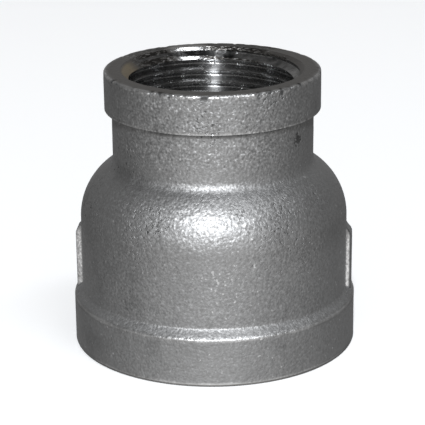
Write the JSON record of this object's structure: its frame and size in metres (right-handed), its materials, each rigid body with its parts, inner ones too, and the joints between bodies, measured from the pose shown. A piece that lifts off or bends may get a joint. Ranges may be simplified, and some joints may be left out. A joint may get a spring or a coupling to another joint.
{
  "type": "banded bell reducer",
  "caption": "Bell-shaped pipe reducer in cast stainless steel, with a reinforcing band and an internal parallel pipe thread at each end and wrench ribs on the skirt.",
  "frame": {"origin": "on the pipe axis, in the plane of the large end's rim", "axes": "+Z runs along the pipe axis from the large end to the small end, and the two wrench ribs lie close to +X and -X"},
  "size_m": [0.0538, 0.0538, 0.0526],
  "materials": {
    "cast_stainless": "fine blasted investment casting, satin grey, with bright machined threads and mouths"
  },
  "bodies": {
    "root": {"reducer_casting": "cast_stainless"}
  },
  "joints": []
}
